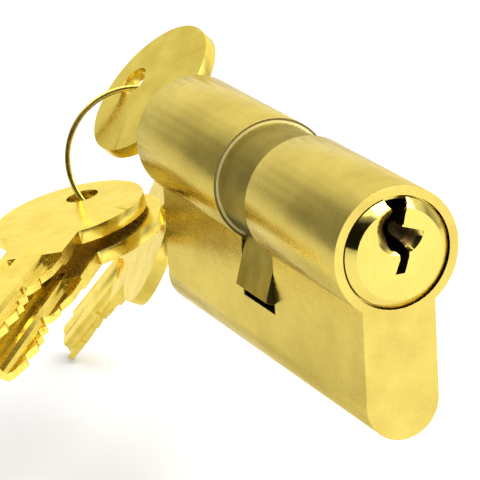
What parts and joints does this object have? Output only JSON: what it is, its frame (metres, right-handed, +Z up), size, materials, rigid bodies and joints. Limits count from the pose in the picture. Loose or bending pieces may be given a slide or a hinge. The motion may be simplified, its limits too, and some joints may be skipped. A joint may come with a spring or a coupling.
{
  "type": "euro cylinder",
  "caption": "Double euro profile lock cylinder, pin tumbler, with a turned key in its rear plug and loose keys on a wire ring.",
  "frame": {"origin": "centre of the fixing-screw hole, at the middle of the housing's length and width", "axes": "+Y along the barrel towards the rear face, -Y out of the front face, +X out of the fixing-screw hole, +Z up from the leg to the barrel"},
  "size_m": [0.0529, 0.1234, 0.0596],
  "materials": {
    "body_brass": "satin",
    "plug_brass": "brushed face, polished bevel",
    "pin_brass": "turned",
    "key_brass": "tumbled",
    "ring_brass": "drawn wire",
    "bright_steel": "turned",
    "spring_steel": "drawn wire",
    "cam_alloy": "sintered, yellow passivated"
  },
  "bodies": {
    "housing": {"housing": "body_brass", "front_chamber_plugs": "body_brass", "rear_chamber_plugs": "body_brass", "front_spring_1": "spring_steel", "front_spring_2": "spring_steel", "front_spring_3": "spring_steel", "front_spring_4": "spring_steel", "front_spring_5": "spring_steel", "rear_spring_1": "spring_steel", "rear_spring_2": "spring_steel", "rear_spring_3": "spring_steel", "rear_spring_4": "spring_steel", "rear_spring_5": "spring_steel"},
    "front_plug": {"front_plug": "plug_brass", "front_circlip": "spring_steel", "front_coupler": "bright_steel"},
    "rear_plug": {"rear_plug": "plug_brass", "rear_circlip": "spring_steel", "rear_coupler": "bright_steel", "key": "key_brass", "rear_key_pin_1": "pin_brass", "rear_key_pin_2": "pin_brass", "rear_key_pin_3": "pin_brass", "rear_key_pin_4": "pin_brass", "rear_key_pin_5": "pin_brass"},
    "cam": {"cam": "cam_alloy", "clutch_spring": "spring_steel"},
    "front_stack_1": {"front_key_pin_1": "pin_brass", "front_driver_pin_1": "bright_steel"},
    "front_stack_2": {"front_key_pin_2": "pin_brass", "front_driver_pin_2": "bright_steel"},
    "front_stack_3": {"front_key_pin_3": "pin_brass", "front_driver_pin_3": "bright_steel"},
    "front_stack_4": {"front_key_pin_4": "pin_brass", "front_driver_pin_4": "bright_steel"},
    "front_stack_5": {"front_key_pin_5": "pin_brass", "front_driver_pin_5": "bright_steel"},
    "rear_driver_1": {"rear_driver_pin_1": "bright_steel"},
    "rear_driver_2": {"rear_driver_pin_2": "bright_steel"},
    "rear_driver_3": {"rear_driver_pin_3": "bright_steel"},
    "rear_driver_4": {"rear_driver_pin_4": "bright_steel"},
    "rear_driver_5": {"rear_driver_pin_5": "bright_steel"},
    "key_ring": {"key_ring": "ring_brass"},
    "loose_key_1": {"loose_key_1": "key_brass"},
    "loose_key_2": {"loose_key_2": "key_brass"},
    "loose_key_3": {"loose_key_3": "key_brass"}
  },
  "joints": [
    {"name": "rear_plug_turn", "type": "hinge", "parent": "housing", "child": "rear_plug", "pos_m": [0, 0, 0.0205], "axis": [0, 1, 0], "continuous": true},
    {"name": "cam_turn", "type": "hinge", "parent": "housing", "child": "cam", "pos_m": [0, 0, 0.0205], "axis": [0, 1, 0], "continuous": true},
    {"name": "front_plug_play", "type": "hinge", "parent": "housing", "child": "front_plug", "pos_m": [0, 0, 0.0205], "axis": [0, 1, 0], "range_deg": [-0.4, 0.4]},
    {"name": "front_stack_1_press", "type": "slide", "parent": "housing", "child": "front_stack_1", "axis": [0, 0, -1], "range_m": [0, 0.0033], "stiffness_N_per_m": 200, "springref_m": -0.003, "deforming": ["front_spring_1"]},
    {"name": "front_stack_2_press", "type": "slide", "parent": "housing", "child": "front_stack_2", "axis": [0, 0, -1], "range_m": [0, 0.0033], "stiffness_N_per_m": 200, "springref_m": -0.003, "deforming": ["front_spring_2"]},
    {"name": "front_stack_3_press", "type": "slide", "parent": "housing", "child": "front_stack_3", "axis": [0, 0, -1], "range_m": [0, 0.0033], "stiffness_N_per_m": 200, "springref_m": -0.003, "deforming": ["front_spring_3"]},
    {"name": "front_stack_4_press", "type": "slide", "parent": "housing", "child": "front_stack_4", "axis": [0, 0, -1], "range_m": [0, 0.0033], "stiffness_N_per_m": 200, "springref_m": -0.003, "deforming": ["front_spring_4"]},
    {"name": "front_stack_5_press", "type": "slide", "parent": "housing", "child": "front_stack_5", "axis": [0, 0, -1], "range_m": [0, 0.0033], "stiffness_N_per_m": 200, "springref_m": -0.003, "deforming": ["front_spring_5"]},
    {"name": "rear_driver_1_press", "type": "slide", "parent": "housing", "child": "rear_driver_1", "axis": [0, 0, -1], "range_m": [0, 0.003], "stiffness_N_per_m": 200, "springref_m": -0.003, "deforming": ["rear_spring_1"]},
    {"name": "rear_driver_2_press", "type": "slide", "parent": "housing", "child": "rear_driver_2", "axis": [0, 0, -1], "range_m": [0, 0.003], "stiffness_N_per_m": 200, "springref_m": -0.003, "deforming": ["rear_spring_2"]},
    {"name": "rear_driver_3_press", "type": "slide", "parent": "housing", "child": "rear_driver_3", "axis": [0, 0, -1], "range_m": [0, 0.003], "stiffness_N_per_m": 200, "springref_m": -0.003, "deforming": ["rear_spring_3"]},
    {"name": "rear_driver_4_press", "type": "slide", "parent": "housing", "child": "rear_driver_4", "axis": [0, 0, -1], "range_m": [0, 0.003], "stiffness_N_per_m": 200, "springref_m": -0.003, "deforming": ["rear_spring_4"]},
    {"name": "rear_driver_5_press", "type": "slide", "parent": "housing", "child": "rear_driver_5", "axis": [0, 0, -1], "range_m": [0, 0.003], "stiffness_N_per_m": 200, "springref_m": -0.003, "deforming": ["rear_spring_5"]},
    {"name": "ring_swing", "type": "hinge", "parent": "rear_plug", "child": "key_ring", "pos_m": [0.00158, 0.056, 0.02203], "axis": [0.6947, 0, -0.7193], "range_deg": [0, 25]},
    {"name": "loose_key_1_swing", "type": "hinge", "parent": "key_ring", "child": "loose_key_1", "pos_m": [-0.00864, 0.05483, 0.00617], "axis": [0.1903, -0.0575, -0.98], "range_deg": [0, 15]},
    {"name": "loose_key_2_swing", "type": "hinge", "parent": "key_ring", "child": "loose_key_2", "pos_m": [-0.00634, 0.05303, 0.00374], "axis": [0.2717, -0.0568, -0.9607], "range_deg": [0, 15]},
    {"name": "loose_key_3_swing", "type": "hinge", "parent": "key_ring", "child": "loose_key_3", "pos_m": [0.00211, 0.04925, 0.00307], "axis": [-0.8806, 0.2552, 0.3993], "range_deg": [-12, 12]}
  ],
  "couplings": [
    {"joint": "cam_turn", "follows": "rear_plug_turn", "ratio": 1}
  ]
}
